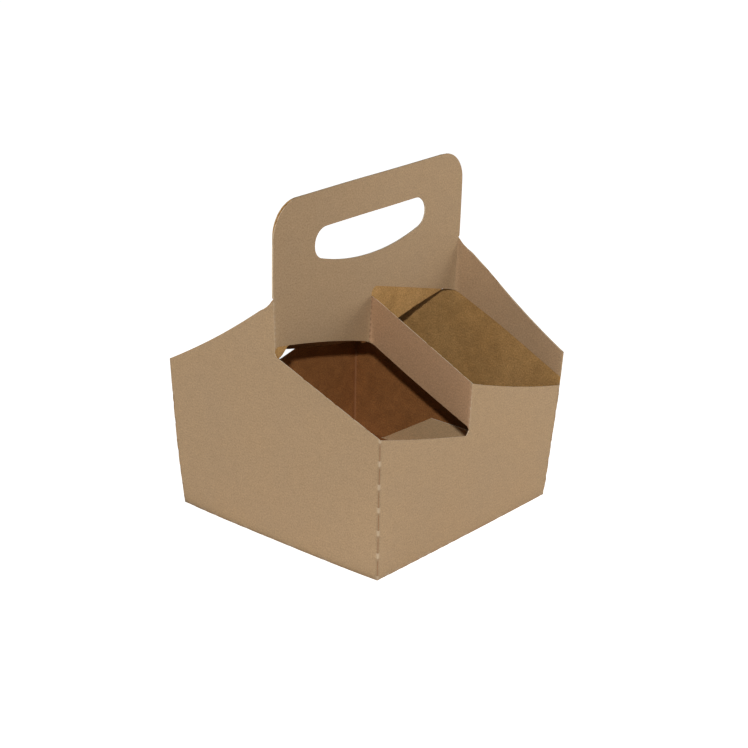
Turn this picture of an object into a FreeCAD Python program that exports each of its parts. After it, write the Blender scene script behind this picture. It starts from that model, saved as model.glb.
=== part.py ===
# Cardboard cup carrier for four cups.
# One die-cut sheet of kraft board: a square ring of four walls that lean out a little,
# a doubled carrying handle across the middle, two straps that part the four cups,
# and a base of folded flaps. The sheet is the same after half a turn about the
# upright axis, so one half is drawn here and its copy is turned by 180 degrees.
# Units are millimetres. Z is up, the foot stands on z = 0 and the handle lies along X.

import FreeCAD, Part
import math
import os

# Board and foot
board = 0.55                 # thickness of the sheet
base_half = 90.0             # half the side of the square base
flare = 0.04                 # outward lean of each wall per mm of height
room = 260.0                 # reach of the helper blocks, larger than the carrier
same_point = 1e-6            # points nearer than this are one

# Heights of the folded corners
low_corner = 100.5           # top of the corner between two low wall halves
high_corner = 108.0          # top of the corner where the doubled wall ends
open_corner = 83.0           # top of the single wall at the same corner
shoulder = 172.0             # where the wall top meets the side of the handle

# Handle
handle_top = 237.0
handle_round = 20.0          # radius of the two upper handle corners
handle_draw_in = 0.1         # how far the handle sides lean in above the shoulder
grip_half = 56.0             # half the length of the finger slot
grip_top = 211.5
grip_bottom = 182.0          # lowest point of the curved lower edge
grip_bottom_rise = 8.0       # how far the lower edge rises towards its ends
grip_round = 9.5             # radius of the slot ends

# Curve that eases the high wall top into the handle side
ease_run = 11.0
ease_drop = 9.7
ease_sag = 1.2
high_top_sag = 2.0           # downward bow of the high wall top below that curve

# Lower cut: from the side wall, past the middle fold, to the front fold
cut_round = 3.4              # half width of a cut at its rounded ends
cut_side_height = 134.9      # centre of the rounded end at the side wall
cut_front_height = 79.5      # centre of the rounded end at the front wall
ply_edge_middle = 117.2      # lower edge of the handle at the middle fold
ply_edge_bow = 1.8           # upward bow of that edge
front_low_sag = 0.5          # downward bow of the low front wall top

# Upper cut: from the middle fold to the far corner
cut_middle_height = 153.4    # centre of the rounded end at the middle fold
strap_top_drop = 1.4         # fall of the strap's upper edge where it leaves the handle
ply_edge_side = 133.4        # lower edge of the handle at the doubled wall
front_step = 112.9           # top of the front wall at the strap
front_high_sag = 1.5         # downward bow of the falling front wall top
lining_corner = 89.9         # lower edge of the doubled layer at its corner
lining_bow = 0.7

# Folds of the strap, measured from the middle plane
strap_root = 2.3             # at the handle
strap_foot = -3.4            # at the front wall

# Base flaps
base_overlap = 11.0          # how far each main flap passes the middle
base_side_gap = 4.0          # from a main flap to the side wall
base_lock_gap = 1.0          # between the two halves of a main flap
base_step_run = 6.0          # length of the small step up onto the other flap
side_flap_height = 32.0
side_flap_lean = 4.0         # lean of the standing flap away from its wall
side_flap_inset = 1.3        # from the outer bottom edge to the fold of the standing flap
side_flap_back = 62.0        # end of its fold behind the handle
side_flap_front = 84.0       # end of its fold in front of the handle
side_flap_top_back = 11.0    # ends of its upper edge
side_flap_top_front = 66.0

# Perforated folds
slit_length = 11.2
slit_pitch = 16.5
slit_start = 3.2             # height of the first slit above the end of the fold
slit_width = 0.3
slit_reach = 1.6             # how deep a slit reaches to each side of the fold line
slit_end_gap = 1.0           # whole board left above the last slit
fold_over_run = 1.0          # how far a fold rounding passes the ends of its fold


def wall_half(z):
    return base_half + flare * z


def handle_half(z):
    if z <= shoulder:
        return wall_half(z)
    share = (z - shoulder) / (handle_top - shoulder)
    return wall_half(shoulder) - handle_draw_in * share


def on_yz(y, z):
    return FreeCAD.Vector(0, y, z)


def on_xz(x, z):
    return FreeCAD.Vector(x, 0, z)


def on_xy(x, y):
    return FreeCAD.Vector(x, y, 0)


def bowed(start, end, bow):
    # A point halfway along an edge, moved up by the bow in the second coordinate
    return ((start[0] + end[0]) / 2.0, (start[1] + end[1]) / 2.0 + bow)


def arc_middle(centre, radius, degrees):
    angle = math.radians(degrees)
    return (centre[0] + radius * math.cos(angle), centre[1] + radius * math.sin(angle))


def face_from(steps, place):
    # The first step is a point; a later one is a point, or a pair for an arc
    edges = []
    start = here = steps[0]
    for step in list(steps[1:]) + [start]:
        if isinstance(step[0], tuple):
            middle, end = step
            curve = Part.Arc(place(*here), place(*middle), place(*end))
            edges.append(curve.toShape())
        else:
            end = step
            if place(*here).distanceToPoint(place(*end)) < same_point:
                continue
            edges.append(Part.LineSegment(place(*here), place(*end)).toShape())
        here = end
    return Part.Face(Part.Wire(edges))


def prism_x(steps, x0, x1):
    face = face_from(steps, on_yz)
    face.translate(FreeCAD.Vector(x0, 0, 0))
    return face.extrude(FreeCAD.Vector(x1 - x0, 0, 0))


def prism_y(steps, y0, y1):
    face = face_from(steps, on_xz)
    face.translate(FreeCAD.Vector(0, y0, 0))
    return face.extrude(FreeCAD.Vector(0, y1 - y0, 0))


def prism_z(steps, z0, z1):
    face = face_from(steps, on_xy)
    face.translate(FreeCAD.Vector(0, 0, z0))
    return face.extrude(FreeCAD.Vector(0, 0, z1 - z0))


def left_layer(depth0, depth1):
    # Leaning sheet of the left wall between two depths below its outer face
    steps = [(-(wall_half(0) - depth0), 0),
             (-(wall_half(room) - depth0), room),
             (-(wall_half(room) - depth1), room),
             (-(wall_half(0) - depth1), 0)]
    return prism_y(steps, -room, room)


def front_layer(depth0, depth1):
    steps = [(-(wall_half(0) - depth0), 0),
             (-(wall_half(room) - depth0), room),
             (-(wall_half(room) - depth1), room),
             (-(wall_half(0) - depth1), 0)]
    return prism_x(steps, -room, room)


def half_turn(shape):
    turned = shape.copy()
    turned.rotate(FreeCAD.Vector(0, 0, 0), FreeCAD.Vector(0, 0, 1), 180)
    return turned


def high_top(direction):
    # Top edge of a doubled wall half, from its outer corner up to the handle.
    # direction is +1 for the left wall and -1 for the right wall.
    corner = (direction * wall_half(high_corner), high_corner)
    eased = (direction * ease_run, shoulder - ease_drop)
    start = (-direction * board, shoulder)
    middle = bowed(eased, start, -ease_sag)
    return [corner, (bowed(corner, eased, -high_top_sag), eased), (middle, start)]


def left_wall():
    fold = -board
    crease_end = cut_side_height
    arc_centre = (fold - cut_round, crease_end)
    arc_end = (fold - cut_round, crease_end - cut_round)
    steps = [(-wall_half(0), 0), (wall_half(0), 0)]
    steps += high_top(1)
    steps += [(fold, crease_end),
              (arc_middle(arc_centre, cut_round, -45), arc_end),
              (-wall_half(low_corner), low_corner)]
    return prism_x(steps, -room, 0).common(left_layer(0, board))


def front_wall():
    arc_centre = (strap_foot - cut_round, cut_front_height)
    arc_start = (strap_foot - cut_round, cut_front_height - cut_round)
    low_start = (-wall_half(low_corner), low_corner)
    high_start = (strap_foot, front_step)
    high_end = (wall_half(open_corner), open_corner)
    steps = [(wall_half(0), 0), (-wall_half(0), 0), low_start,
             (bowed(low_start, arc_start, -front_low_sag), arc_start),
             (arc_middle(arc_centre, cut_round, -45), (strap_foot, cut_front_height)),
             high_start,
             (bowed(high_start, high_end, -front_high_sag), high_end)]
    return prism_y(steps, -room, 0).common(front_layer(0, board))


def grip_slot():
    top_centre_x = grip_half - grip_round
    low_end = (top_centre_x, grip_bottom + grip_bottom_rise)
    side_low = grip_bottom + grip_bottom_rise + grip_round
    side_high = grip_top - grip_round
    right_top = (top_centre_x, grip_top)
    left_top = (-top_centre_x, grip_top)
    left_low = (-low_end[0], low_end[1])
    steps = [left_top, right_top,
             (arc_middle((top_centre_x, side_high), grip_round, 45), (grip_half, side_high)),
             (grip_half, side_low),
             (arc_middle((top_centre_x, side_low), grip_round, -45), low_end),
             ((0, grip_bottom), left_low),
             (arc_middle((-top_centre_x, side_low), grip_round, -135), (-grip_half, side_low)),
             (-grip_half, side_high),
             (arc_middle((-top_centre_x, side_high), grip_round, 135), left_top)]
    return steps


def handle_crown():
    # Right shoulder, over the rounded top, to the left shoulder
    side = handle_half(handle_top)
    turn = handle_top - handle_round
    flat = side - handle_round
    return [(handle_half(shoulder), shoulder), (side, turn),
            (arc_middle((flat, turn), handle_round, 45), (flat, handle_top)),
            (-flat, handle_top),
            (arc_middle((-flat, turn), handle_round, 135), (-side, turn)),
            (-handle_half(shoulder), shoulder)]


def front_ply():
    left_z = cut_side_height
    left_fold = -wall_half(left_z)
    left_round = (left_fold + cut_round, left_z + cut_round)
    root = strap_root
    middle_low = (root, ply_edge_middle)
    notch_top = (root + cut_round, cut_middle_height + cut_round)
    right_low = (wall_half(ply_edge_side), ply_edge_side)
    steps = [(left_fold, left_z),
             (arc_middle((left_round[0], left_z), cut_round, 135), left_round),
             (bowed(left_round, middle_low, ply_edge_bow), middle_low),
             (root, cut_middle_height),
             (arc_middle((notch_top[0], cut_middle_height), cut_round, 135), notch_top),
             right_low]
    steps += handle_crown()
    sheet = prism_y(steps, -board, 0)
    return sheet.cut(prism_y(grip_slot(), -room, room))


def strap_plan():
    # The strap seen from above, from the handle past the outer face of the front wall
    reach = wall_half(front_step) + board
    return [(strap_root, 0), (strap_foot, -reach),
            (strap_foot + board, -reach), (strap_root + board, 0)]


def front_strap():
    # Outline seen from the side; its far end follows the leaning front wall
    low_y = -(wall_half(cut_front_height) - cut_round)
    low_end = (low_y, cut_front_height + cut_round)
    fold_low = (-wall_half(cut_front_height), cut_front_height)
    fold_high = (-wall_half(front_step), front_step)
    top_start = (-cut_round, cut_middle_height - strap_top_drop)
    steps = [(0, ply_edge_middle), low_end,
             (arc_middle((low_y, cut_front_height), cut_round, 135), fold_low),
             fold_high, top_start, (0, cut_middle_height)]
    return prism_x(steps, -room, room).common(prism_z(strap_plan(), 0, room))


def right_lining():
    # Second layer inside the right wall, folded over at the corner
    outer_low = (-wall_half(lining_corner), lining_corner)
    inner_low = (0, ply_edge_side)
    steps = [inner_low, (bowed(inner_low, outer_low, lining_bow), outer_low)]
    steps += high_top(-1)[:-1]
    top_start = (0, shoulder)
    eased = high_top(-1)[1][1]
    steps += [(bowed(eased, top_start, -ease_sag), top_start)]
    sheet = prism_x(steps, 0, room)
    return sheet.common(half_turn(left_layer(board, 2 * board)))


def main_flap():
    # Front base flap: its left half lies under the other flap, its right half on top
    side = base_half - base_side_gap
    left = Part.makeBox(side - base_lock_gap / 2, base_half + base_overlap, board)
    left.translate(FreeCAD.Vector(-side, -base_half, 0))
    rise = -base_overlap - base_step_run
    steps = [(-base_half, 0), (rise, 0), (-base_overlap, board), (base_overlap, board),
             (base_overlap, 2 * board), (-base_overlap, 2 * board), (rise, board),
             (-base_half, board)]
    right = prism_x(steps, base_lock_gap / 2, side)
    join = Part.makeBox(base_lock_gap * 2, base_half + rise, board)
    join.translate(FreeCAD.Vector(-base_lock_gap, -base_half, 0))
    return left.fuse([right, join])


def side_flap():
    # Standing flap folded up inside the right wall
    outer = base_half
    wall_inner = wall_half(side_flap_height) - board
    top = wall_inner - side_flap_lean
    foot = base_half - side_flap_inset
    section = [(foot - board, 0), (outer, 0), (outer, board), (foot, board),
               (top, side_flap_height), (top - board, side_flap_height), (foot - board, board)]
    outline = [(side_flap_back, 0), (side_flap_top_back, side_flap_height),
               (-side_flap_top_front, side_flap_height), (-side_flap_front, 0)]
    return prism_y(section, -room, room).common(prism_x(outline, 0, room))


def fold_rounding(corner, side_a, side_b, z0, z1, lean):
    # Sliver outside the rounded fold between two faces meeting at a corner line
    x, y = corner
    radius = board
    ax, ay = side_a
    bx, by = side_b
    start = FreeCAD.Vector(x + radius * ax, y + radius * ay, z0)
    end = FreeCAD.Vector(x + radius * bx, y + radius * by, z0)
    inner = FreeCAD.Vector(x + radius * (ax + bx), y + radius * (ay + by), z0)
    diagonal = 1.0 / math.sqrt(2.0)
    middle = inner - FreeCAD.Vector(ax + bx, ay + by, 0) * (radius * diagonal)
    out = FreeCAD.Vector(-(ax + bx), -(ay + by), 0) * radius
    far_start = start - FreeCAD.Vector(bx, by, 0) * radius
    far_end = end - FreeCAD.Vector(ax, ay, 0) * radius
    tip = FreeCAD.Vector(x, y, z0) + out
    edges = [Part.Arc(start, middle, end).toShape(),
             Part.LineSegment(end, far_end).toShape(),
             Part.LineSegment(far_end, tip).toShape(),
             Part.LineSegment(tip, far_start).toShape(),
             Part.LineSegment(far_start, start).toShape()]
    face = Part.Face(Part.Wire(edges))
    return face.extrude(FreeCAD.Vector(lean[0] * (z1 - z0), lean[1] * (z1 - z0), z1 - z0))


def roundings():
    # Outer side of the folds of the front half: two corners, handle, strap
    low = wall_half(0)
    fold_low = cut_side_height
    strap_low = cut_front_height - fold_over_run
    return [
        fold_rounding((-low, -low), (1, 0), (0, 1),
                      0, low_corner + fold_over_run, (-flare, -flare)),
        fold_rounding((-low, low), (1, 0), (0, -1),
                      0, high_corner + fold_over_run, (-flare, flare)),
        fold_rounding((-wall_half(fold_low), -board), (1, 0), (0, 1),
                      fold_low, shoulder, (-flare, 0)),
        fold_rounding((strap_foot, -wall_half(strap_low)), (1, 0), (0, 1),
                      strap_low, front_step + fold_over_run, (0, -flare)),
    ]


def slit_row(x, y, z0, z1, lean, turn):
    # Thin blocks across a fold line, one above the other
    rows = []
    z = z0 + slit_start
    while z + slit_length < z1 - slit_end_gap:
        block = Part.makeBox(2 * slit_reach, slit_width, slit_length)
        block.translate(FreeCAD.Vector(-slit_reach, -slit_width / 2, 0))
        block.rotate(FreeCAD.Vector(0, 0, 0), FreeCAD.Vector(0, 0, 1), turn)
        middle = z + slit_length / 2
        block.translate(FreeCAD.Vector(x + lean[0] * middle, y + lean[1] * middle, z))
        rows.append(block)
        z += slit_pitch
    return rows


def slits():
    corner = base_half - board
    rows = slit_row(-corner, -corner, 0, low_corner, (-flare, -flare), 45)
    rows += slit_row(-corner, corner, 0, open_corner, (-flare, flare), -45)
    return rows


def build():
    half = [left_wall(), front_wall(), front_ply(), front_strap(),
            right_lining(), main_flap(), side_flap()]
    whole = half + [half_turn(piece) for piece in half]
    carrier = whole[0].fuse(whole[1:])
    cutters = roundings() + slits()
    cutters += [half_turn(piece) for piece in cutters]
    carrier = carrier.cut(cutters)
    return carrier.removeSplitter()


carrier = build()
os.makedirs("parts", exist_ok=True)
carrier.exportStep("parts/cup_carrier.step")
print("solids", len(carrier.Solids), "valid", carrier.isValid(), "volume", round(carrier.Volume, 1))
print("box", carrier.BoundBox)
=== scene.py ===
"""Cardboard cup carrier: one folded sheet of kraft board, built as a thin shell.

The sheet is drawn panel by panel in millimetres, welded along its folds, given the small
sags of a real folded board and then its thickness. One half is drawn; the other half is
the same after half a turn about Z.
"""
import math

import bmesh
import bpy
from mathutils import Matrix, Vector, noise


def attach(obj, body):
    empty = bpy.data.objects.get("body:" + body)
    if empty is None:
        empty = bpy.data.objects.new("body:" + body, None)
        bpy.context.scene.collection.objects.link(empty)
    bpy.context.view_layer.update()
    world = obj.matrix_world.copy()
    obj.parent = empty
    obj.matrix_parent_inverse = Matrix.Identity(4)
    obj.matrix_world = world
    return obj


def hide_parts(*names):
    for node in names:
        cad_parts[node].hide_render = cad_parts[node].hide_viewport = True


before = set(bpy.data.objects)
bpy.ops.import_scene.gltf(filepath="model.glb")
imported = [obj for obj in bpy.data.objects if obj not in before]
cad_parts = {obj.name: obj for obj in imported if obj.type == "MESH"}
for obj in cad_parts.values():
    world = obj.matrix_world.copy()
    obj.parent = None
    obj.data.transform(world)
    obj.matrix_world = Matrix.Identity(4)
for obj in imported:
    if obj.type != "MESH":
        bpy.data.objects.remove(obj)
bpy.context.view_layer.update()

MM = 0.001

# Panels of the half that is drawn; the other half's are ten higher, but for its turned edge
LEFT_WALL, FRONT_WALL, PLY, STRAP, LINING, MAIN_FLAP, SIDE_FLAP, TURNED_EDGE = range(1, 9)
OTHER_HALF = 10

# Places of the inside's and the cut edge's materials, after the outside's
INSIDE = 1
EDGE = 2

# Board and walls
board = 0.55
shell = 0.53                 # thickness drawn, a hair less so that glued layers don't touch
base_half = 90.0
flare = 0.04
low_corner = 100.5
high_corner = 108.0
open_corner = 83.0
shoulder = 172.0

# Handle
handle_top = 236.4
round_left = 24.5            # upper handle corners
round_right = 21.5
handle_draw_in = -0.2        # of each side towards the top
shoulder_step = 1.0          # from the lining's upper end out to the handle's side

# Finger slot
grip_half = 56.9
grip_top = 211.0
grip_bottom = 181.6
grip_bottom_rise = 8.0
grip_round_high = 11.0
grip_round_low = 10.0
grip_steps = 16              # pieces of half the lower edge

# Eased curve from the high wall top into the handle side
ease_run = 11.0
ease_drop = 9.7
ease_sag = 1.2
high_top_sag = 2.0

# Cuts
cut_round = 3.4
cut_side_height = 134.9
cut_front_height = 79.5
ply_edge_middle = 117.9
ply_edge_bow = 1.8
front_low_sag = 0.5
side_low_sag = 0.7
strap_edge_sag = 0.9
strap_end_run = 1.5          # the strap's lower edge turns up to its front fold
strap_end_rise = 2.2
strap_top_drop = 0.6
cut_middle_height = 150.6
cut_middle_round = 5.0
cut_middle_rise = 1.2        # straight part below the rounding
ply_edge_side = 133.4
front_step = 112.9
front_high_sag = 1.5
lining_corner = 89.9
lining_bow = 0.7
turned_bulge = 0.32          # how far the board turned over at the corner stands out

# Folds as shares of the half width of the carrier
ply_share = 0.00576          # outer face of a handle ply, from the middle plane
root_share = 0.0158          # fold between ply and strap
foot_share = -0.0362         # fold between strap and front wall
lining_share = 0.98855       # visible face of the lining, from the middle plane

# Base flaps
base_overlap = 11.0
base_side_gap = 2.2
base_corner_gap = 0.4        # beyond the side flap
base_lock_gap = 1.0
base_notch_gap = 0.12        # between the main flap's wide part and the side flap
base_step_run = 6.0
side_flap_height = 32.0
side_flap_lean = 4.0
side_flap_inset = 1.85
side_flap_back = 62.0
side_flap_front = 84.0
side_flap_top_back = 11.0
side_flap_top_front = 66.0

# Perforated folds
slit_length = 11.2
slit_pitch = 16.5
slit_start = 3.2
slit_clear = 1.0             # left whole above the last slit
slit_strip = 0.12            # what a slit takes out on each side of the fold line
slit_near = 1.0              # farthest that a slit's strip lies from the wall's face
tick_pitch = 4.1
bridge_from = 0.74           # share of the pitch after which a bridge looks pale
corner_zone = 80.0           # the upright corner folds lie beyond this, both ways
fray_depth = 0.45
fray_reach = 2.5             # how far from the fold line, and from which height
fray_from = 2.0
fray_wave = 2.3
fray_corners = (3.1, 5.7)    # set the corners' waves apart

# Mesh
outline_step = 6.0           # longest piece of a straight outline, about
grid_step = 4.0
mean_half = 94.0
row_gap = 1.3                # least distance between the lines that divide a panel
column_gap = 1.2             # the same in hundredths of the half width
last_column = 99.0
side_flap_rows = range(6, 32, 4)
turned_columns = range(20, 100, 20)
flap_step = 4.3
weld_distance = 0.01
fold_width = 0.62            # how far a fold's rounding reaches from the fold line
low_fold_width = 0.25
fold_steps = 3
spike_limit = 1.8            # longest way through the board at a crease, in thicknesses
smooth_angle = 40
flap_crease = 0.5            # least angle of the fold within a side flap
crease_reach = 0.9           # how far from the strap's fold its painted shade and dark nicks reach
crease_beside = 0.8

# Millimetres of grain to a hundredth of the half width, and its shift from panel to panel
grain_across = 0.95
grain_along_base = 0.9
grain_shift = (37, 53)

# Height up to which the inside is painted darker and redder as painted shade, at the middle of the
# side walls
deep_from = 66.0
deep_rise = 0.42             # and per millimetre towards the low corners
deep_blend = 9.0

# Painted shade: the handle's face is painted darker towards its left end, in shares of its half
# width
handle_shade_from = 0.3
handle_shade_reach = 1.2

# Painted reddish bounce light: the lining gets less of it than the strap
bounce_light_lining = 0.33

# Lower ends of two folds: where they start to open, moves in x and y, and reach
root_opening = (147.0, (2.3, 0.7), 8.0)
side_opening = (166.0, (1.7, 1.45), 9.0)
opening_least = 0.35         # share of the reach at the start
opening_depth = 2.2          # the reach is shorter by this factor away from the ply
opening_skin = 0.6

# Sag of the folded board: how far corners and folds stand off the ideal prism
sag_limit = 1.02             # in shares of the half width
corner_out = 1.97            # high corners, at their top
corner_out_foot = 0.09
corner_bow = 0.55            # and halfway up
corner_in = -0.20            # low corners, at the same height
corner_in_foot = -0.57
corner_in_foot_y = -1.4
waist_in = 1.25              # side walls under the handle
waist_height = 140.0
waist_pinch = 1.7            # and what the two cuts add around their height
pinch_height = 134.0
pinch_spread = 28.0
belly_along = 0.51           # middle of the front wall, sideways
belly_full = 80.0
belly_out = 0.95             # and outwards
belly_height = 100.0
left_foot_bow = 2.0          # bottom edges between the corners
front_foot_bow = 1.3
foot_bow_height = 70.0

# Bulge of the right wall's high half, near the handle and then towards the corner
bulge_out = 3.3
bulge_from = 85.0
bulge_rise = 62.0
bulge_most = 1.2
bulge_reach = 75.0
bulge_skew = 0.8
bulge_far = 1.3
bulge_far_from = 20.0
bulge_far_length = 74.0
bulge_far_rise = 35.0
bulge_wall = (0.9, 0.98)     # shares of the half width between which it grows

# Rise of the far wall beside its notch
far_rise_from = 95.0
far_rise_height = 3.0
far_rise_length = 34.0
far_rise_wall = (0.96, 0.99)
far_rise_side = (1.0, 2.5)

# Fall of the back ply beside the left notch
tip_drop = 5.0
tip_reach = 30.0
tip_start = (0.855, 0.93)    # shares of the half width between which it begins and ends
tip_end = (0.991, 0.996)
tip_side = (0.1, 0.4)
tip_low = 116.0
tip_high = (136.0, 158.0)

# Shift of the back wall's middle
back_aside = 3.6
back_up = 3.2
back_narrow = 1.1
back_full = 80.0

# Rise of the back strap's lower edge, which runs near the middle
back_hem_rise = 2.7
back_hem_half = 6.5
back_hem_low = 60.0
back_hem_high = 150.0
back_hem_start = (3.0, 11.0)
back_hem_end = (84.5, 91.0)

# Lean of the whole carrier, per mm of height, and of the handle
lean_x = 0.0141
lean_y = -0.0070
handle_lean = 0.0106
handle_turn = 0.0005
handle_turn_rise = 20.0
lean_from = 136.0

# Slow waves in the board
wave_seed = 5                # the same waves in each run
wave_scale = 0.021
wave_depth = 0.45
wave_full = 30.0


def wall_half(z):
    return base_half + flare * z


def ramp(value, start, end):
    # 0 up to the start, 1 from the end on, and even between
    return max(0.0, min(1.0, (value - start) / (end - start)))


def handle_half(z):
    if z <= shoulder:
        return wall_half(z)
    share = (z - shoulder) / (handle_top - shoulder)
    return wall_half(shoulder) - handle_draw_in * share


# Outlines as lists of points in millimetres
def straight(start, end):
    count = max(1, round(math.dist(start, end) / outline_step))
    points = []
    for i in range(1, count + 1):
        t = i / count
        points.append((start[0] + (end[0] - start[0]) * t, start[1] + (end[1] - start[1]) * t))
    return points


def through(points, *corners):
    # Goes on in straight lines from the last point through the corners
    points = list(points)
    for corner in corners:
        points += straight(points[-1], corner)
    return points


def arc(start, middle, end, count):
    # Points on the circle through three points, without the first
    ax, ay = start
    bx, by = middle
    cx, cy = end
    d = 2 * (ax * (by - cy) + bx * (cy - ay) + cx * (ay - by))
    a2, b2, c2 = ax * ax + ay * ay, bx * bx + by * by, cx * cx + cy * cy
    ux = (a2 * (by - cy) + b2 * (cy - ay) + c2 * (ay - by)) / d
    uy = (a2 * (cx - bx) + b2 * (ax - cx) + c2 * (bx - ax)) / d
    first = math.atan2(ay - uy, ax - ux)
    last = math.atan2(cy - uy, cx - ux)
    via = math.atan2(by - uy, bx - ux)
    turn = (last - first) % (2 * math.pi)
    if (via - first) % (2 * math.pi) > turn:
        turn -= 2 * math.pi
    radius = math.hypot(ax - ux, ay - uy)
    points = []
    for i in range(1, count + 1):
        angle = first + turn * i / count
        points.append((ux + radius * math.cos(angle), uy + radius * math.sin(angle)))
    return points


def bow(start, end, height, step=outline_step):
    middle = ((start[0] + end[0]) / 2, (start[1] + end[1]) / 2 + height)
    count = max(2, round(math.dist(start, end) / step))
    return arc(start, middle, end, count)


def rounding(centre, first, last, radius=cut_round, count=6):
    # Points round a centre, from one angle to another in degrees, without the first
    points = []
    for i in range(1, count + 1):
        angle = math.radians(first + (last - first) * i / count)
        points.append((centre[0] + radius * math.cos(angle),
                       centre[1] + radius * math.sin(angle)))
    return points


def high_top(side, reach):
    corner = (side * wall_half(high_corner), high_corner)
    eased = (side * ease_run, shoulder - ease_drop)
    end = (reach, shoulder)
    points = [corner] + bow(corner, eased, -high_top_sag)
    return points + bow(eased, end, -ease_sag, 2.0)


def fold_at(share, z):
    return share * wall_half(z)


def left_wall_outline():
    top = high_top(1, -fold_at(ply_share, shoulder))
    fold_end = (-fold_at(ply_share, cut_side_height), cut_side_height)
    low = (-wall_half(low_corner), low_corner)
    points = through([(-base_half, 0.0)], (base_half, 0.0), top[0]) + top[1:]
    points = through(points, fold_end)
    points += rounding((fold_end[0] - cut_round, cut_side_height), 0, -90)
    points += bow(points[-1], low, -side_low_sag)
    return through(points, (-base_half, 0.0))[:-1]


def front_wall_outline():
    low = (-wall_half(low_corner), low_corner)
    centre = (fold_at(foot_share, cut_front_height) - cut_round, cut_front_height)
    fold_top = (fold_at(foot_share, front_step), front_step)
    high = (wall_half(open_corner), open_corner)
    points = through([(base_half, 0.0)], (-base_half, 0.0), low)
    points += bow(low, (centre[0], cut_front_height - cut_round), -front_low_sag)
    points = through(points + rounding(centre, -90, 0), fold_top)
    points += bow(fold_top, high, -front_high_sag)
    return through(points, (base_half, 0.0))[:-1]


def ply_outline():
    left = (-wall_half(cut_side_height), cut_side_height)
    root_low = (fold_at(root_share, ply_edge_middle), ply_edge_middle)
    root_high = (fold_at(root_share, cut_middle_height), cut_middle_height)
    root_centre = (root_high[0] + cut_middle_round, cut_middle_height + cut_middle_rise)
    side_low = (fold_at(lining_share, ply_edge_side), ply_edge_side)
    side_high = (fold_at(lining_share, shoulder), shoulder)
    step_out = (handle_half(shoulder + shoulder_step), shoulder + shoulder_step)
    crown = handle_half(handle_top)
    right_centre = (crown - round_right, handle_top - round_right)
    left_centre = (round_left - crown, handle_top - round_left)
    points = [left] + rounding((left[0] + cut_round, cut_side_height), 180, 90)
    points += bow(points[-1], root_low, ply_edge_bow)
    points = through(points, root_high) + [(root_high[0], root_centre[1])]
    points += rounding(root_centre, 180, 90, cut_middle_round)
    points = through(points, side_low, side_high) + [step_out]
    points = through(points, (crown, right_centre[1]))
    points += rounding(right_centre, 0, 90, round_right, 12)
    points = through(points, (left_centre[0], handle_top))
    points += rounding(left_centre, 90, 180, round_left, 12)
    return through(points, (-wall_half(shoulder), shoulder), left)[:-1]


def grip_half_outline(side):
    # Half of the finger slot from its middle below to its middle above
    # The lower edge runs into the end's rounding at the angle turn
    turn = 2.0 * math.atan(grip_bottom_rise / (grip_half - 0.7 * grip_round_low))
    low = (side * (grip_half - grip_round_low * (1.0 - math.sin(turn))),
           grip_bottom + grip_bottom_rise)
    centre_low = (side * (grip_half - grip_round_low), low[1] + grip_round_low * math.cos(turn))
    centre_high = (side * (grip_half - grip_round_high), grip_top - grip_round_high)
    lower_edge = arc((-low[0], low[1]), (0.0, grip_bottom), low, 2 * grip_steps)
    points = [(0.0, grip_bottom)] + lower_edge[grip_steps:]
    points += rounding(centre_low, -90 + side * math.degrees(turn), -90 + side * 90,
                       grip_round_low, 9)
    points += [(side * grip_half, centre_high[1])]
    points += rounding(centre_high, 90 - side * 90, 90, grip_round_high, 9)
    return through(points, (0.0, grip_top))


def strap_outline():
    # Distance from the middle plane and height
    root_low = (fold_at(ply_share, ply_edge_middle), ply_edge_middle)
    root_high = (fold_at(ply_share, cut_middle_height), cut_middle_height)
    fold_low = (wall_half(cut_front_height), cut_front_height)
    low_end = (fold_low[0] - strap_end_run, cut_front_height + strap_end_rise)
    fold_high = (wall_half(front_step), front_step)
    near_top = (cut_round, cut_middle_height - strap_top_drop)
    points = [root_low] + bow(root_low, low_end, -strap_edge_sag) + [fold_low]
    points = through(points, fold_high, near_top) + [root_high]
    return through(points, root_low)[:-1]


def lining_outline():
    inner_low = (-fold_at(ply_share, ply_edge_side), ply_edge_side)
    outer_low = (-wall_half(lining_corner), lining_corner)
    top = high_top(-1, -fold_at(ply_share, shoulder))
    points = [inner_low] + bow(inner_low, outer_low, lining_bow)
    return through(through(points, top[0]) + top[1:], inner_low)[:-1]


def main_flap_outline():
    side = base_half - base_side_gap
    wide = base_half - base_corner_gap
    slit = base_lock_gap / 2
    step = -base_overlap - base_step_run
    notch = -side_flap_back - base_notch_gap
    corners = [(side, -base_half), (side, base_overlap), (slit, base_overlap), (slit, step),
               (-slit, step), (-slit, base_overlap), (-side, base_overlap),
               (-side, notch), (-wide, notch), (-wide, -base_half)]
    return through(corners[-1:], *corners)[:-1]


def side_flap_outline():
    # Distance along the wall and distance from its bottom edge along the flap
    length = side_flap_inset + math.hypot(side_flap_height, side_flap_lean)
    corners = [(side_flap_back, 0.0), (side_flap_back, side_flap_inset),
               (side_flap_top_back, length), (-side_flap_top_front, length),
               (-side_flap_front, side_flap_inset), (-side_flap_front, 0.0)]
    return through(corners[-1:], *corners)[:-1]


# Where each panel's points go: across is a share of the half width, up is a height
def put_left(across, up):
    return Vector((-wall_half(up), across * wall_half(up), up))


def put_front(across, up):
    return Vector((across * wall_half(up), -wall_half(up), up))


def put_ply(across, up):
    return Vector((across * handle_half(up), -ply_share * wall_half(up), up))


def put_strap(across, up):
    t = (across - ply_share) / (1.0 - ply_share)
    share = root_share + (foot_share - root_share) * t
    return Vector((share * wall_half(up), -across * wall_half(up), up))


def put_lining(across, up):
    return Vector((lining_share * wall_half(up), across * wall_half(up), up))


def put_main_flap(across, along):
    y = along * base_half
    z = 0.0
    if across > 0:
        z = board * ramp(y, -base_overlap - base_step_run, -base_overlap)
    return Vector((across * base_half, y, z))


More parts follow.
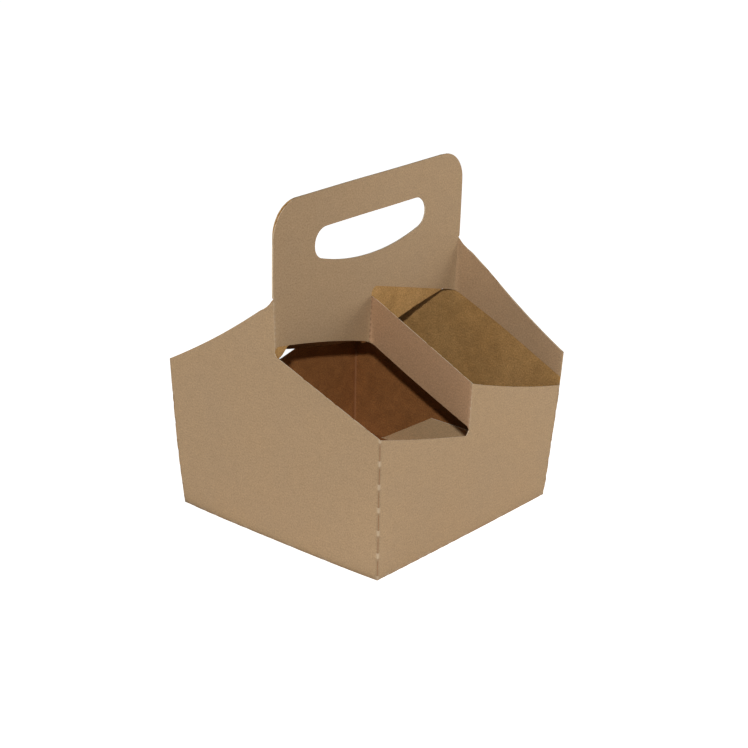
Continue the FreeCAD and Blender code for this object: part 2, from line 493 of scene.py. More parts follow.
def put_side_flap(across, run):
    if run <= side_flap_inset:
        return Vector((base_half - run, across * base_half, 0.0))
    share = (run - side_flap_inset) / math.hypot(side_flap_height, side_flap_lean)
    return Vector((base_half - side_flap_inset - side_flap_lean * share,
                   across * base_half, side_flap_height * share))


def put_turned_edge(across, up):
    # The board turned over at the corner, from the lining to the outer wall
    angle = math.pi * across
    share = lining_share + (1.0 - lining_share) * (1.0 - math.cos(angle)) / 2
    bulge = turned_bulge * math.sin(angle)
    return Vector((share * wall_half(up), -wall_half(up) - bulge, up))


# Lines on which every panel is divided, so that neighbours share points on their folds
def spaced(keys, low, high, step, gap):
    marks = sorted(set(keys))
    count = int((high - low) / step)
    for i in range(1, count + 1):
        mark = low + i * step
        if all(abs(mark - key) > gap for key in keys):
            marks.append(mark)
    return sorted(marks)


def slit_ends():
    ends = []
    z = slit_start
    while z + slit_length < low_corner - slit_clear:
        ends.append((z, z + slit_length))
        z += slit_pitch
    return ends


def height_rows():
    keys = [cut_front_height, open_corner, lining_corner, low_corner, high_corner,
            front_step, ply_edge_middle, ply_edge_side, cut_side_height,
            cut_middle_height, shoulder]
    for low, high in slit_ends():
        keys += [low, high]
    return spaced(keys, 0.0, handle_top, grid_step, row_gap)


def width_columns():
    side = 100 * (base_half - base_side_gap) / base_half
    keys = [-side, side, -100 * ply_share, 100 * root_share, 100 * foot_share,
            -100 * side_flap_front / base_half, 100 * side_flap_back / base_half, 0.0]
    return spaced(keys, -100.0, last_column, 100 * grid_step / mean_half, column_gap)


def divide(shape, marks, normal):
    for mark in marks:
        bmesh.ops.bisect_plane(shape, geom=shape.verts[:] + shape.edges[:] + shape.faces[:],
                               dist=1e-5, plane_co=Vector(normal) * mark,
                               plane_no=normal)


def clip_half(points, side):
    # The part of a closed outline on one side of the middle line
    kept = []
    for here, ahead in zip(points, points[1:] + points[:1]):
        inside = here[0] * side >= 0
        if inside:
            kept.append(here)
        if inside != (ahead[0] * side >= 0):
            t = here[0] / (here[0] - ahead[0])
            kept.append((0.0, here[1] + (ahead[1] - here[1]) * t))
    return kept


def with_slot(points, slot):
    # The middle line of a half ply takes the finger slot's half as a notch
    for i, here in enumerate(points):
        ahead = points[(i + 1) % len(points)]
        if abs(here[0]) < 1e-9 and abs(ahead[0]) < 1e-9:
            path = slot if here[1] < ahead[1] else slot[::-1]
            return points[:i + 1] + path + points[i + 1:]
    return points


def shares(points, half):
    return [(100 * s / half(z), z) for s, z in points]


def add_panel(sheet, layers, number, outline, rows, columns, put, facing, scale):
    """Fills an outline, divides it on the shared lines and adds it to the sheet."""
    flat = bmesh.new()
    flat.faces.new([flat.verts.new((a, b, 0)) for a, b in outline])
    divide(flat, rows, (0, 1, 0))
    divide(flat, columns, (1, 0, 0))
    panel_layer, uv_layer = layers
    flat.verts.index_update()
    made = [sheet.verts.new(put(v.co.x / 100, v.co.y / scale)) for v in flat.verts]
    faces = []
    for flat_face in flat.faces:
        face = sheet.faces.new([made[v.index] for v in flat_face.verts])
        face[panel_layer] = number
        for loop, source in zip(face.loops, flat_face.verts):
            across = source.co.x * grain_across + grain_shift[0] * number
            up = source.co.y * (grain_along_base if scale == 100 else 1.0)
            loop[uv_layer].uv = (across / 100, (up + grain_shift[1] * number) / 100)
        faces.append(face)
    area = Vector((0, 0, 0))
    for face in faces:
        face.normal_update()
        area += face.normal * face.calc_area()
    if area.dot(Vector(facing)) < 0:
        bmesh.ops.reverse_faces(sheet, faces=faces)
    flat.free()


def add_half(sheet, layers):
    rows = height_rows()
    columns = width_columns()
    whole_ply = ply_outline()
    left_ply, right_ply = (with_slot(clip_half(whole_ply, side), grip_half_outline(side))
                           for side in (-1, 1))
    for number, outline, half, put, facing in (
            (LEFT_WALL, left_wall_outline(), wall_half, put_left, (-1, 0, 0)),
            (FRONT_WALL, front_wall_outline(), wall_half, put_front, (0, -1, 0)),
            (PLY, left_ply, handle_half, put_ply, (0, -1, 0)),
            (PLY, right_ply, handle_half, put_ply, (0, -1, 0)),
            (STRAP, strap_outline(), wall_half, put_strap, (-1, 0, 0)),
            (LINING, lining_outline(), wall_half, put_lining, (-1, 0, 0))):
        across = [-column for column in columns] if number == STRAP else columns
        add_panel(sheet, layers, number, shares(outline, half), rows, across, put, facing, 1)
    add_base_flaps(sheet, layers, columns)
    turned = [(0.0, lining_corner), (100.0, lining_corner),
              (100.0, high_corner), (0.0, high_corner)]
    add_panel(sheet, layers, TURNED_EDGE, turned, rows, turned_columns,
              put_turned_edge, (0, -1, 0), 1)


def add_base_flaps(sheet, layers, columns):
    overlap = 100 * base_overlap / base_half
    step_lines = [-overlap - 100 * base_step_run / base_half, -overlap]
    rows = spaced(step_lines, -100.0, overlap, flap_step, column_gap)
    flap = [(100 * x / base_half, 100 * y / base_half) for x, y in main_flap_outline()]
    add_panel(sheet, layers, MAIN_FLAP, flap, rows, columns, put_main_flap, (0, 0, -1), 100)
    rows = [side_flap_inset, *side_flap_rows]
    flap = [(100 * y / base_half, run) for y, run in side_flap_outline()]
    add_panel(sheet, layers, SIDE_FLAP, flap, rows, columns, put_side_flap, (-1, 0, -0.2), 1)


def soften_fold(point, fold_x, low, opening):
    """The lower end of a fold opens into a wide curve, on the ply and on what hangs off it."""
    high, (move_x, move_y), reach = opening
    if point.z > high:
        return point
    share = min(1.0, (high - point.z) / (high - low))
    width = reach * (opening_least + (1.0 - opening_least) * share)
    away = math.hypot(point.x - fold_x, opening_depth * max(0.0, -point.y - opening_skin))
    if away >= width:
        return point
    push = share * share * (1.0 - away / width) ** 2
    return point - Vector((move_x * push, move_y * push, 0.0))


def soften_half(sheet, number_layer):
    for vert in sheet.verts:
        numbers = {face[number_layer] for face in vert.link_faces}
        if numbers & {PLY, STRAP}:
            vert.co = soften_fold(vert.co, fold_at(root_share, vert.co.z),
                                  ply_edge_middle, root_opening)
        if numbers & {PLY, LINING}:
            vert.co = soften_fold(vert.co, fold_at(lining_share, vert.co.z),
                                  ply_edge_side, side_opening)


def across_nodes(share):
    # Weights of the values at -1, 0 and 1
    return (share * (share - 1) / 2, 1 - share * share, share * (share + 1) / 2)


def corner_moves(z):
    """Moves in x and in y at one height, by rows from front to back and from left to right."""
    k = z / high_corner
    out = corner_out * k + corner_out_foot * (1 - k)
    out += corner_bow * math.sin(math.pi * min(1.0, k))
    inward = corner_in * k + corner_in_foot * (1 - k)
    inward_y = corner_in * k + corner_in_foot_y * (1 - k)
    pinch = math.exp(-((z - pinch_height) / pinch_spread) ** 2)
    waist = waist_in * min(z, shoulder) / waist_height + waist_pinch * pinch
    along = belly_along * min(1.0, z / belly_full)
    belly = belly_out * z / belly_height
    x_moves = ((inward, -along, out), (waist, 0.0, -waist), (-out, along, -inward))
    y_moves = ((inward_y, -belly, -out), (0.0, 0.0, 0.0), (out, belly, -inward_y))
    return x_moves, y_moves


def foot_bow(x, y, z, half):
    # The bottom edges bow outwards between the corners
    low = max(0.0, 1.0 - z / foot_bow_height)
    sx = max(-1.0, min(1.0, x / half))
    sy = max(-1.0, min(1.0, y / half))
    return (left_foot_bow * low * sx * abs(sx) * (1.0 - abs(sy) ** 3),
            front_foot_bow * low * sy * abs(sy) * (1.0 - sx * sx))


def wall_bulge(x, y, z):
    # Outward bulge of the right wall's high half, with its lining
    if x < 0 or y > 0 or z < bulge_from:
        return 0.0
    rise = min(bulge_most, ((z - bulge_from) / bulge_rise) ** 2)
    near = bulge_out * rise * math.sin(math.pi * min(1.0, -y / bulge_reach) ** bulge_skew)
    share = ramp(-y, bulge_far_from, bulge_far_from + bulge_far_length)
    far = bulge_far * min(1.0, (z - bulge_from) / bulge_far_rise) * math.sin(math.pi * share)
    return (near + far) * ramp(x / wall_half(z), *bulge_wall)


def far_rise(x, y, z, half):
    # The far wall's low half stands a little higher beside its notch
    if z < far_rise_from or y > far_rise_length:
        return 0.0
    up = (z - far_rise_from) / (cut_side_height - far_rise_from)
    on_wall = ramp(x / half, *far_rise_wall) * ramp(y, *far_rise_side)
    return far_rise_height * up * on_wall * (1.0 - y / far_rise_length)


def tip_fall(x, y, z, half):
    # The back ply and the lining beside it hang lower at the left notch
    if z <= tip_low or y >= tip_reach:
        return 0.0
    share = -x / half
    near = ramp(share, *tip_start) * (1.0 - ramp(share, *tip_end)) * ramp(y, *tip_side)
    return -tip_drop * near * (1.0 - y / tip_reach) * (1.0 - ramp(z, *tip_high))


def back_shift(x, y, z, half):
    # The middle of the back wall stands a little to the right and higher
    share = max(0.0, y / half) ** 2 * max(0.0, 1.0 - back_narrow * abs(x) / half)
    return share * min(1.0, z / back_full)


def back_hem(x, y, z):
    # The back strap hangs a little higher between its ends
    if abs(x) >= back_hem_half or not back_hem_low < z < back_hem_high:
        return 0.0
    return back_hem_rise * ramp(y, *back_hem_start) * (1.0 - ramp(y, *back_hem_end))


def lean(moved, ideal, half):
    # The handle leans about its lower edge, and the whole carrier about its foot
    x, y, z = ideal
    if z > lean_from:
        rise = z - lean_from
        near = max(0.0, 1.0 - abs(y) / half) ** 2
        moved.y -= handle_lean * rise * near
        moved.x += handle_turn * rise * near
        moved.z -= handle_turn * x * near * min(1.0, rise / handle_turn_rise)
    moved.x += lean_x * z
    moved.y += lean_y * z
    return moved


def sag(point):
    """Moves a point of the ideal prism to where it is on the folded carrier."""
    x, y, z = point
    half = wall_half(min(z, shoulder))
    wx = across_nodes(max(-sag_limit, min(sag_limit, x / half)))
    wy = across_nodes(max(-sag_limit, min(sag_limit, y / half)))
    x_moves, y_moves = corner_moves(z)
    dx = sum(wx[i] * wy[j] * x_moves[j][i] for i in range(3) for j in range(3))
    dy = sum(wx[i] * wy[j] * y_moves[j][i] for i in range(3) for j in range(3))
    bow_x, bow_y = foot_bow(x, y, z, half)
    shift = back_shift(x, y, z, half)
    dx += bow_x + wall_bulge(x, y, z) + back_aside * shift
    dz = far_rise(x, y, z, half) + tip_fall(x, y, z, half) + back_up * shift + back_hem(x, y, z)
    return lean(Vector((x + dx, y + dy + bow_y, z + dz)), point, half)


def wavy(point):
    # Slow waves of a few tenths of a millimetre in the board
    shift = noise.noise_vector(point * wave_scale, noise_basis="PERLIN_ORIGINAL")
    fade = min(1.0, point.z / wave_full)
    return point + Vector((shift.x, shift.y, 0.0)) * wave_depth * fade


def fold_edges(sheet, number_layer):
    folds = []
    for edge in sheet.edges:
        if len(edge.link_faces) != 2:
            continue
        one, other = (face[number_layer] for face in edge.link_faces)
        if one != other and TURNED_EDGE not in (one, other):
            folds.append(edge)
        elif one == other == SIDE_FLAP and edge.calc_face_angle(0.0) > flap_crease:
            folds.append(edge)
    return folds


def off_corner(point):
    # How far a point is from the upright corner folds, as a difference of distances
    return abs(abs(point.x) - abs(point.y))


def open_slits(sheet):
    """Takes the middle strip out of the corner folds between the bridges.

    The far corner's slits are shut, because nothing shines through there.
    """
    gone = []
    for face in sheet.faces:
        centre = face.calc_center_median()
        off_wall = wall_half(centre.z) - max(abs(centre.x), abs(centre.y))
        if off_wall > slit_near or off_corner(centre) > slit_strip or min(centre.x, centre.y) > 0:
            continue
        top = low_corner if centre.x * centre.y > 0 else open_corner
        for low, high in slit_ends():
            if low < centre.z < high and high < top:
                gone.append(face)
    bmesh.ops.delete(sheet, geom=gone, context="FACES_KEEP_BOUNDARY")


def fray(sheet, bridge):
    # The perforated corner folds stand in and out by a quarter of a millimetre
    for vert in sheet.verts:
        x, y, z = vert.co
        if vert[bridge] < 0.5 or abs(x) < corner_zone or z < fray_from:
            continue
        if off_corner(vert.co) < fray_reach:
            side = Vector((math.copysign(1.0, x), math.copysign(1.0, y), 0.0))
            place = Vector((side.x * fray_corners[0], side.y * fray_corners[1], z / fray_wave))
            vert.co += side * fray_depth * noise.noise(place)


def deep_shade_share(point):
    # The painted shade of the inside starts lower towards the high halves
    along = point.y if point.x > 0 else -point.y
    if abs(point.y) > abs(point.x):
        along = base_half
    end = deep_from + deep_rise * along
    return 1.0 - ramp(point.z, end - deep_blend, end)


def mark_panels(sheet, number_layer):
    """Marks the points where light and shade are painted into the board's colour."""
    bounce_light, flap_light, deep_shade, handle_shade, crease_shade = (sheet.verts.layers.float.new(name) for name in (
        "bounce_light", "flap_light", "deep_shade", "handle_shade", "crease_shade"))
    for vert in sheet.verts:
        numbers = {face[number_layer] for face in vert.link_faces}
        # Painted shade towards the handle's left end
        if numbers <= {PLY}:
            share = vert.co.x / handle_half(vert.co.z)
            vert[handle_shade] = 1.0 - ramp(share, handle_shade_from - handle_shade_reach, handle_shade_from)
        numbers = {number % OTHER_HALF for number in numbers}
        if {PLY, STRAP} <= numbers:
            mark_crease_shade(vert, crease_shade)
        # Painted reddish bounce light on strap and lining
        if numbers <= {STRAP, LINING}:
            vert[bounce_light] = 1.0 if STRAP in numbers else bounce_light_lining
        # Painted light: the side flap is painted lighter
        elif numbers == {SIDE_FLAP}:
            vert[flap_light] = 1.0
        # Painted shade: on the strap's inside all over, and on the inside's lower part
        vert[deep_shade] = 1.0 if numbers == {STRAP} else deep_shade_share(vert.co)


def mark_crease_shade(vert, crease_shade):
    # Painted shade along the fold between ply and strap, and less of it on the points close by
    vert[crease_shade] = 1.0
    for edge in vert.link_edges:
        if edge.calc_length() < crease_reach:
            beside = edge.other_vert(vert)
            beside[crease_shade] = max(beside[crease_shade], crease_beside)


def mark_folds(sheet, number_layer, folds):
    # Folds painted paler, partly as wear and partly as painted highlight, and apart from them the
    # perforated corner folds with their bridges
    wear_and_highlight, bridge = (sheet.verts.layers.float.new(name) for name in ("wear_and_highlight", "bridge"))
    for edge in folds:
        numbers = {face[number_layer] % OTHER_HALF for face in edge.link_faces}
        if numbers not in ({PLY, STRAP}, {PLY, LINING}):
            for vert in edge.verts:
                vert[bridge if numbers == {LEFT_WALL, FRONT_WALL} else wear_and_highlight] = 1.0
    return bridge


def add_other_half(sheet, number_layer):
    copied = bmesh.ops.duplicate(sheet, geom=sheet.verts[:] + sheet.edges[:] + sheet.faces[:])
    for element in copied["geom"]:
        if isinstance(element, bmesh.types.BMVert):
            element.co = Vector((-element.co.x, -element.co.y, element.co.z))
        elif isinstance(element, bmesh.types.BMFace) and element[number_layer] != TURNED_EDGE:
            element[number_layer] += OTHER_HALF
    bmesh.ops.remove_doubles(sheet, verts=sheet.verts[:], dist=weld_distance)


def round_folds(sheet, folds):
    low_folds = [edge for edge in folds if all(abs(v.co.z) < 0.01 for v in edge.verts)]
    high_folds = [edge for edge in folds if edge not in set(low_folds)]
    for group, width in ((high_folds, fold_width), (low_folds, low_fold_width)):
        bmesh.ops.bevel(sheet, geom=group, offset=width, offset_type="OFFSET",
                        segments=fold_steps, profile=0.5, affect="EDGES", clamp_overlap=True)


def build_sheet():
    noise.seed_set(wave_seed)
    sheet = bmesh.new()
    number_layer = sheet.faces.layers.int.new("panel")
    uv_layer = sheet.loops.layers.uv.new("sheet")
    add_half(sheet, (number_layer, uv_layer))
    bmesh.ops.remove_doubles(sheet, verts=sheet.verts[:], dist=weld_distance)
    soften_half(sheet, number_layer)
    add_other_half(sheet, number_layer)
    folds = fold_edges(sheet, number_layer)
    bridge = mark_folds(sheet, number_layer, folds)
    round_folds(sheet, folds)
    open_slits(sheet)
    mark_panels(sheet, number_layer)
    fray(sheet, bridge)
    for vert in sheet.verts:
        vert.co = wavy(sag(vert.co)) * MM
    return sheet


def add_object(name, data):
    thing = bpy.data.objects.new(name, data)
    bpy.context.scene.collection.objects.link(thing)
    return thing


def sheet_object():
    sheet = build_sheet()
    mesh = bpy.data.meshes.new("carrier_sheet")
    sheet.to_mesh(mesh)
    sheet.free()
    return add_object("carrier_sheet", mesh)


def shorten_spikes(solid, count):
    # Points of the far side come after the near side's, and may lie far off at a sharp crease
    limit = spike_limit * shell * MM
    for near, far in zip(solid.vertices[:count], solid.vertices[count:]):
        reach = far.co - near.co
        if reach.length > limit:
            far.co = near.co + reach * (limit / reach.length)


def darken_slits(solid):
    # The cut edges inside the corner slits lie in shade, so they take the inside's darker material
    # as painted shade
    for face in solid.polygons:
        x, y, z = face.center / MM
        upright = abs(face.normal.z) < 0.5 and z < low_corner - slit_clear
        if face.material_index == EDGE and upright and min(abs(x), abs(y)) > corner_zone:
            face.material_index = INSIDE


def thicken(piece):
    modifier = piece.modifiers.new("thickness", "SOLIDIFY")
    modifier.thickness = shell * MM
    modifier.offset = -1.0
    modifier.use_even_offset = True
    modifier.thickness_clamp = 1.0
    modifier.material_offset = INSIDE
    modifier.material_offset_rim = EDGE
    depsgraph = bpy.context.evaluated_depsgraph_get()
    solid = bpy.data.meshes.new_from_object(piece.evaluated_get(depsgraph))
    shorten_spikes(solid, len(piece.data.vertices))
    darken_slits(solid)
    piece.modifiers.clear()
    piece.data = solid
    solid.shade_smooth()
    solid.set_sharp_from_angle(angle=math.radians(smooth_angle))


# Materials
class Nodes:
    """A short way to add linked shader nodes."""

    def __init__(self, tree):
        self.tree = tree

    def add(self, kind, **values):
        node = self.tree.nodes.new(kind)
        for name, value in values.items():
            setattr(node, name, value)
        return node

    def join(self, source, target):
        self.tree.links.new(source, target)

    def feed(self, node, name, value):
        socket = node.inputs[name]
        if isinstance(value, bpy.types.NodeSocket):
            self.join(value, socket)
        else:
            socket.default_value = value

    def math(self, operation, first, second=0.0, third=0.0):
        node = self.add("ShaderNodeMath", operation=operation)
        for index, value in enumerate((first, second, third)):
            self.feed(node, index, value)
        return node.outputs[0]

    def noise(self, vector, scale, detail=3.0, rough=0.55, distortion=0.0):
        node = self.add("ShaderNodeTexNoise", noise_dimensions="3D")
        for name, value in (("Vector", vector), ("Scale", scale), ("Detail", detail),
                            ("Roughness", rough), ("Distortion", distortion)):
            self.feed(node, name, value)
        return node.outputs["Fac"]

    def remap(self, value, low, high, to_low, to_high):
        node = self.add("ShaderNodeMapRange")
        for name, amount in (("Value", value), ("From Min", low), ("From Max", high),
                             ("To Min", to_low), ("To Max", to_high)):
            self.feed(node, name, amount)
        return node.outputs[0]

    def stretch(self, vector, angle, scale):
        node = self.add("ShaderNodeMapping")
        self.feed(node, "Vector", vector)
        node.inputs["Rotation"].default_value = (0, 0, math.radians(angle))
        node.inputs["Scale"].default_value = scale
        return node.outputs[0]

    def blend(self, share, first, second, kind="MIX"):
        node = self.add("ShaderNodeMix", data_type="RGBA", blend_type=kind)
        for index, value in ((0, share), (6, first), (7, second)):
            self.feed(node, index, value)
        return node.outputs[2]

    def paint(self, shade, tone, *shares):
        # Blends a tone over the shade, by the product of the shares
        total = shares[0]
        for share in shares[1:]:
            total = self.math("MULTIPLY", total, share)
        return self.blend(total, shade, tone)

    def attribute(self, name):
        return self.add("ShaderNodeAttribute", attribute_name=name).outputs["Fac"]

    def sheet_uv(self):
        return self.add("ShaderNodeUVMap", uv_map="sheet").outputs[0]

    def height(self):
        # Height above the table in metres
        parts = self.add("ShaderNodeSeparateXYZ")
        self.join(self.add("ShaderNodeTexCoord").outputs["Object"], parts.inputs[0])
        return parts.outputs["Z"]

    def seen_directly(self):
        # 1 for what the camera sees, also in a reflection or through something clear
        path = self.add("ShaderNodeLightPath")
        direct = self.math("MAXIMUM", path.outputs["Is Camera Ray"], path.outputs["Is Glossy Ray"])
        return self.math("MAXIMUM", direct, path.outputs["Is Transmission Ray"])

    def part_seen(self, output_kind, light, seen):
        # One shader for the light that falls on other things, another for what is seen directly
        mix = self.add("ShaderNodeMixShader")
        for index, source in enumerate((self.seen_directly(), light, seen)):
            self.join(source, mix.inputs[index])
        self.join(mix.outputs[0], self.add(output_kind).inputs["Surface"])


def colour(r, g, b):
    return (r, g, b, 1.0)


# Tones of each side of the board: ground, clouds in it, dark fibres and pale fibres
GROUND, CLOUDS, DARK, PALE = range(4)
outside_tones = (colour(0.384, 0.261, 0.150), colour(0.396, 0.265, 0.148),
                 colour(0.235, 0.158, 0.088), colour(0.46, 0.345, 0.225))
inside_tones = (colour(0.427, 0.243, 0.088), colour(0.360, 0.198, 0.066),
                colour(0.210, 0.115, 0.038), colour(0.470, 0.310, 0.135))
# The cut edge is pale like the board's core, and lighter still as a painted highlight on the rims
edge_tones = (colour(0.780, 0.630, 0.450), colour(0.680, 0.530, 0.365),
              colour(0.250, 0.165, 0.092), colour(0.47, 0.36, 0.24))

# Tones along the folds
# Pale tone of the outer folds: partly wear, partly painted highlight
wear_and_highlight_tone = colour(0.47, 0.36, 0.245)
bridge_tone = colour(0.50, 0.39, 0.27)
# Painted shade in the slits
slit_shade_tone = colour(0.16, 0.105, 0.06)
# Painted shade in the valley fold's nicks
nick_shade_tone = colour(0.13, 0.085, 0.05)
inner_bridge_tone = colour(0.52, 0.36, 0.22)

# Tints of the marked points, which paint light and shade into the colour
handle_shade_tint = colour(0.85, 0.84, 0.83)
bounce_light_tint = colour(1.12, 0.99, 0.97)
flap_light_tint = colour(1.52, 1.50, 1.42)
deep_shade_tint = colour(0.72, 0.52, 0.44)

# Fibres: angle in the sheet, scale, threshold, tone and strength
fibre_kinds = ((17, 26.0, 0.69, DARK, 0.42), (71, 31.0, 0.71, DARK, 0.34),
               (128, 28.0, 0.70, PALE, 0.38), (-24, 34.0, 0.71, PALE, 0.30))


def fibres(nodes, vector, angle, scale, threshold):
    # Short thin marks lying one way in the sheet
    along = nodes.stretch(vector, angle, (scale, scale * 9.0, 1.0))
    marks = nodes.noise(along, 1.0, 1.0, 0.4, 0.6)
    return nodes.remap(marks, threshold, threshold + 0.09, 0.0, 1.0)


def board_material(name, tones, contrast, grain_contrast, mottle_scale):
    """Starts a material of clouded, grainy board with fibres; gives its shade and bump too."""
    material = bpy.data.materials.new(name)
    material.use_nodes = True
    nodes = Nodes(material.node_tree)
    uv = nodes.sheet_uv()
    clouds = nodes.remap(nodes.noise(uv, 2.6, 3.0), 0.3, 0.7, 0.0, 1.0)
    tinted = nodes.blend(clouds, tones[GROUND], tones[CLOUDS])
    mottle = nodes.remap(nodes.noise(uv, mottle_scale, 4.0, 0.6), 0.3, 0.7,
                         1.0 - contrast, 1.0 + contrast)
    grain = nodes.remap(nodes.noise(uv, 85.0, 3.0, 0.7), 0.25, 0.75,
                        1.0 - grain_contrast, 1.0 + grain_contrast)
    toned = nodes.add("ShaderNodeVectorMath", operation="SCALE")
    nodes.join(tinted, toned.inputs[0])
    nodes.join(nodes.math("MULTIPLY", mottle, grain), toned.inputs["Scale"])
    shade = toned.outputs[0]
    bump = nodes.noise(uv, 160.0, 3.0, 0.65)
    for angle, scale, threshold, tone, strength in fibre_kinds:
        mark = fibres(nodes, uv, angle, scale, threshold)
        shade = nodes.paint(shade, tones[tone], mark, strength)
        bump = nodes.math("MULTIPLY_ADD", mark, 0.5, bump)
    return material, nodes, shade, bump


def finish_board(material, nodes, shade, height, strength):
    shader = material.node_tree.nodes["Principled BSDF"]
    nodes.join(shade, shader.inputs["Base Color"])
    bump = nodes.add("ShaderNodeBump")
    bump.inputs["Strength"].default_value = strength
    bump.inputs["Distance"].default_value = 0.00006
    nodes.join(height, bump.inputs["Height"])
    nodes.join(bump.outputs[0], shader.inputs["Normal"])
    shader.inputs["Roughness"].default_value = 0.88
    shader.inputs["Specular IOR Level"].default_value = 0.18
    return material


def tint_where(nodes, mark, shade, tint):
    # Where the points bear the mark, the colour is multiplied by the tint
    return nodes.blend(nodes.attribute(mark), shade, nodes.blend(1.0, shade, tint, "MULTIPLY"))


def ticks(nodes, low, high):
    # Regular marks of the perforating rule, up and down the upright folds
    turns = nodes.math("MULTIPLY", nodes.height(), 2 * math.pi / (tick_pitch * MM))
    return nodes.remap(nodes.math("SINE", turns), -0.5, 0.5, low, high)


def slit_share(nodes):
    # 1 where the corner folds are slit and 0 on the bridges between, going by the height
    turns = nodes.math("MULTIPLY_ADD", nodes.height(), 1.0 / (slit_pitch * MM),
                       1.0 - slit_start / slit_pitch)
    return nodes.remap(nodes.math("FRACT", turns), bridge_from, bridge_from + 0.05, 1.0, 0.0)


def outer_material():
    material, nodes, shade, height = board_material(
        "kraft_outside", outside_tones, 0.035, 0.26, 14.0)
    rough = nodes.remap(nodes.noise(nodes.sheet_uv(), 46.0, 2.0), 0.35, 0.65, 0.1, 1.0)
    # Outer folds painted paler: partly wear, partly painted highlight
    shade = nodes.paint(shade, wear_and_highlight_tone, nodes.attribute("wear_and_highlight"), rough, ticks(nodes, 0.4, 1.0))
    bridge = nodes.attribute("bridge")
    slit = slit_share(nodes)
    whole = nodes.math("SUBTRACT", 1.0, slit)
    shade = nodes.paint(shade, bridge_tone, bridge, whole, 0.8)
    # Painted shade in the slits of the corner folds
    shade = nodes.paint(shade, slit_shade_tone, bridge, slit, 0.45)
    # Painted shade along the valley fold between ply and strap, in nicks where it is perforated
    shade = nodes.paint(shade, nick_shade_tone, nodes.attribute("crease_shade"), ticks(nodes, 0.85, 0.15))
    # Painted shade on the handle's left end, painted reddish bounce light on strap and lining,
    # painted light on the side flap
    for mark, tint in (("handle_shade", handle_shade_tint), ("bounce_light", bounce_light_tint), ("flap_light", flap_light_tint)):
        shade = tint_where(nodes, mark, shade, tint)
    return finish_board(material, nodes, shade, height, 0.5)


def inner_material():
    material, nodes, shade, height = board_material("kraft_inside", inside_tones, 0.14, 0.42, 11.0)
    shade = nodes.paint(shade, inner_bridge_tone, nodes.attribute("bridge"), 0.5)
    # Painted shade, darker and redder, deep inside
    shade = tint_where(nodes, "deep_shade", shade, deep_shade_tint)
    return finish_board(material, nodes, shade, height, 0.6)


# Pale core colour of the cut edge, with a painted highlight on the rims
def edge_material():
    material, nodes, shade, height = board_material("kraft_edge", edge_tones, 0.05, 0.10, 40.0)
    return finish_board(material, nodes, shade, height, 0.7)


# Camera of the photograph, worked out from the folded corners
view_azimuth = math.radians(-48.663)
view_elevation = math.radians(21.047)
view_roll = math.radians(0.3325)
view_distance = 1.39192
view_target = Vector((0.02972, 0.01834, 0.081))
picture_width = 748
focal_pixels = 1956.7


def direction(azimuth, elevation):
    return Vector((math.sin(azimuth) * math.cos(elevation),
                   -math.cos(azimuth) * math.cos(elevation),
                   math.sin(elevation)))


def view_axes():
    back = direction(view_azimuth, view_elevation)
    level = Vector((0, 0, 1)).cross(back).normalized()
    upright = back.cross(level)
    right = math.cos(view_roll) * level + math.sin(view_roll) * upright
    up = -math.sin(view_roll) * level + math.cos(view_roll) * upright
    return right, up, back


def add_camera():
    right, up, back = view_axes()
    data = bpy.data.cameras.new("camera")
    data.sensor_width = 36.0
    data.lens = focal_pixels / picture_width * data.sensor_width
    data.clip_end = 20.0
    camera = add_object("camera", data)
    place = Matrix((right, up, back)).transposed().to_4x4()
    place.translation = view_target + back * view_distance
    camera.matrix_world = place
    bpy.context.scene.camera = camera


# Small main lamp a little above the camera
lamp_aim = Vector((0, 0, 0.1))
lamp_distance = 2.6
lamp_elevation = math.radians(24.6)
lamp_radius = 0.026
lamp_energy = 153.0

# Wide soft lamps that lie on the table: centre, size and energy
low_lamp_height = 0.0008
low_lamps = (((-0.6937, 0.50), (1.2, 1.3), 3.0),
             ((0.25, -0.6933), (1.3, 1.2), 1.3))

# Soft lamp that stands on the right
side_lamp_place = Vector((0.50, -0.62, 0.14))
side_lamp_aim = Vector((0.05, 0.0, 0.14))
side_lamp_size = (0.45, 0.30)
side_lamp_energy = 1.7

# Table and surroundings
soft_fill = 0.11                    # soft light from all round
floor_reach = 6.0
floor_drop = 0.0004
floor_glow = 0.90                   # makes the paper white in the picture, and lights nothing


def add_main_lamp():
    data = bpy.data.lights.new("main_lamp", "POINT")
    data.energy = lamp_energy
    data.shadow_soft_size = lamp_radius
    lamp = add_object("main_lamp", data)
    lamp.location = lamp_aim + direction(view_azimuth, lamp_elevation) * lamp_distance


def add_soft_lamp(place, toward, size, energy):
    data = bpy.data.lights.new("soft_lamp", "AREA")
    data.shape = "RECTANGLE"
    data.size, data.size_y = size
    data.energy = energy
    lamp = add_object("soft_lamp", data)
    lamp.location = place
    lamp.rotation_euler = toward.to_track_quat("-Z", "Y").to_euler()
    lamp.visible_camera = False


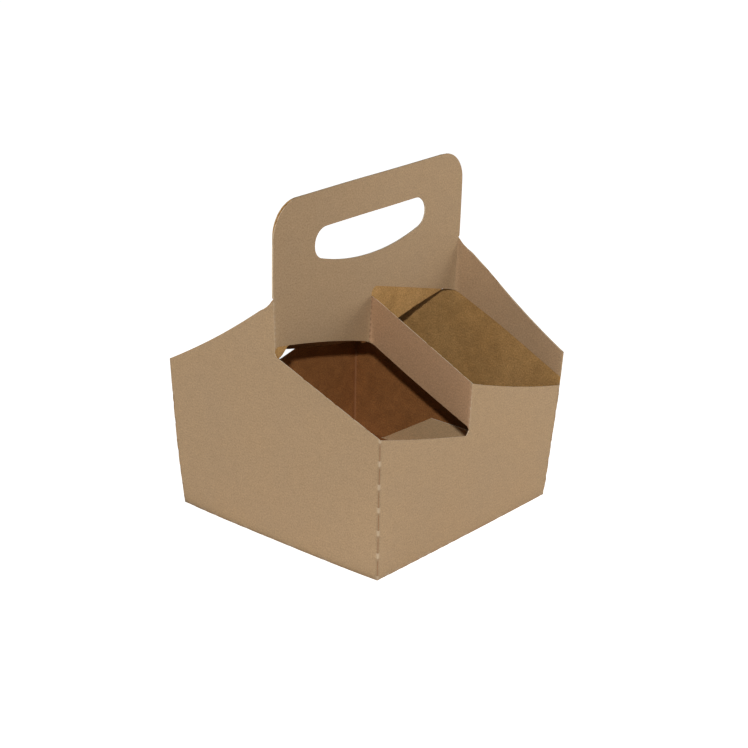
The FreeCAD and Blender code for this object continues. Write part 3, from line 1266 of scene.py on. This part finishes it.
def add_soft_lamps():
    # Light from below on the near sides, as a bright white table gives it, and some from the right
    for (x, y), size, energy in low_lamps:
        add_soft_lamp((x, y, low_lamp_height), Vector((0, 0, 1)), size, energy)
    add_soft_lamp(side_lamp_place, side_lamp_aim - side_lamp_place, side_lamp_size,
                  side_lamp_energy)


def add_world():
    world = bpy.data.worlds.new("studio")
    world.use_nodes = True
    bpy.context.scene.world = world
    world.node_tree.nodes.clear()
    nodes = Nodes(world.node_tree)
    light = nodes.add("ShaderNodeBackground")
    seen = nodes.add("ShaderNodeBackground")
    for shader, strength in ((light, soft_fill), (seen, 1.0)):
        shader.inputs["Color"].default_value = colour(1.0, 1.0, 1.0)
        shader.inputs["Strength"].default_value = strength
    nodes.part_seen("ShaderNodeOutputWorld", light.outputs[0], seen.outputs[0])


def floor_material():
    material = bpy.data.materials.new("studio_floor")
    material.use_nodes = True
    material.node_tree.nodes.clear()
    nodes = Nodes(material.node_tree)
    paper = nodes.add("ShaderNodeBsdfDiffuse")
    paper.inputs["Color"].default_value = colour(0.9, 0.9, 0.9)
    white = nodes.add("ShaderNodeEmission")
    white.inputs["Strength"].default_value = floor_glow
    both = nodes.add("ShaderNodeAddShader")
    nodes.join(paper.outputs[0], both.inputs[0])
    nodes.join(white.outputs[0], both.inputs[1])
    nodes.part_seen("ShaderNodeOutputMaterial", paper.outputs[0], both.outputs[0])
    return material


def add_floor():
    corners = [(x * floor_reach, y * floor_reach, 0)
               for x, y in ((-1, -1), (1, -1), (1, 1), (-1, 1))]
    mesh = bpy.data.meshes.new("floor")
    mesh.from_pydata(corners, [], [(0, 1, 2, 3)])
    mesh.materials.append(floor_material())
    floor = add_object("floor", mesh)
    floor.location.z = -floor_drop


def main():
    bpy.context.scene.view_settings.view_transform = "Standard"
    piece = sheet_object()
    for material in (outer_material(), inner_material(), edge_material()):
        piece.data.materials.append(material)
    thicken(piece)
    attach(piece, "root")
    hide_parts("cup_carrier")
    add_floor()
    add_world()
    add_main_lamp()
    add_soft_lamps()
    add_camera()


main()
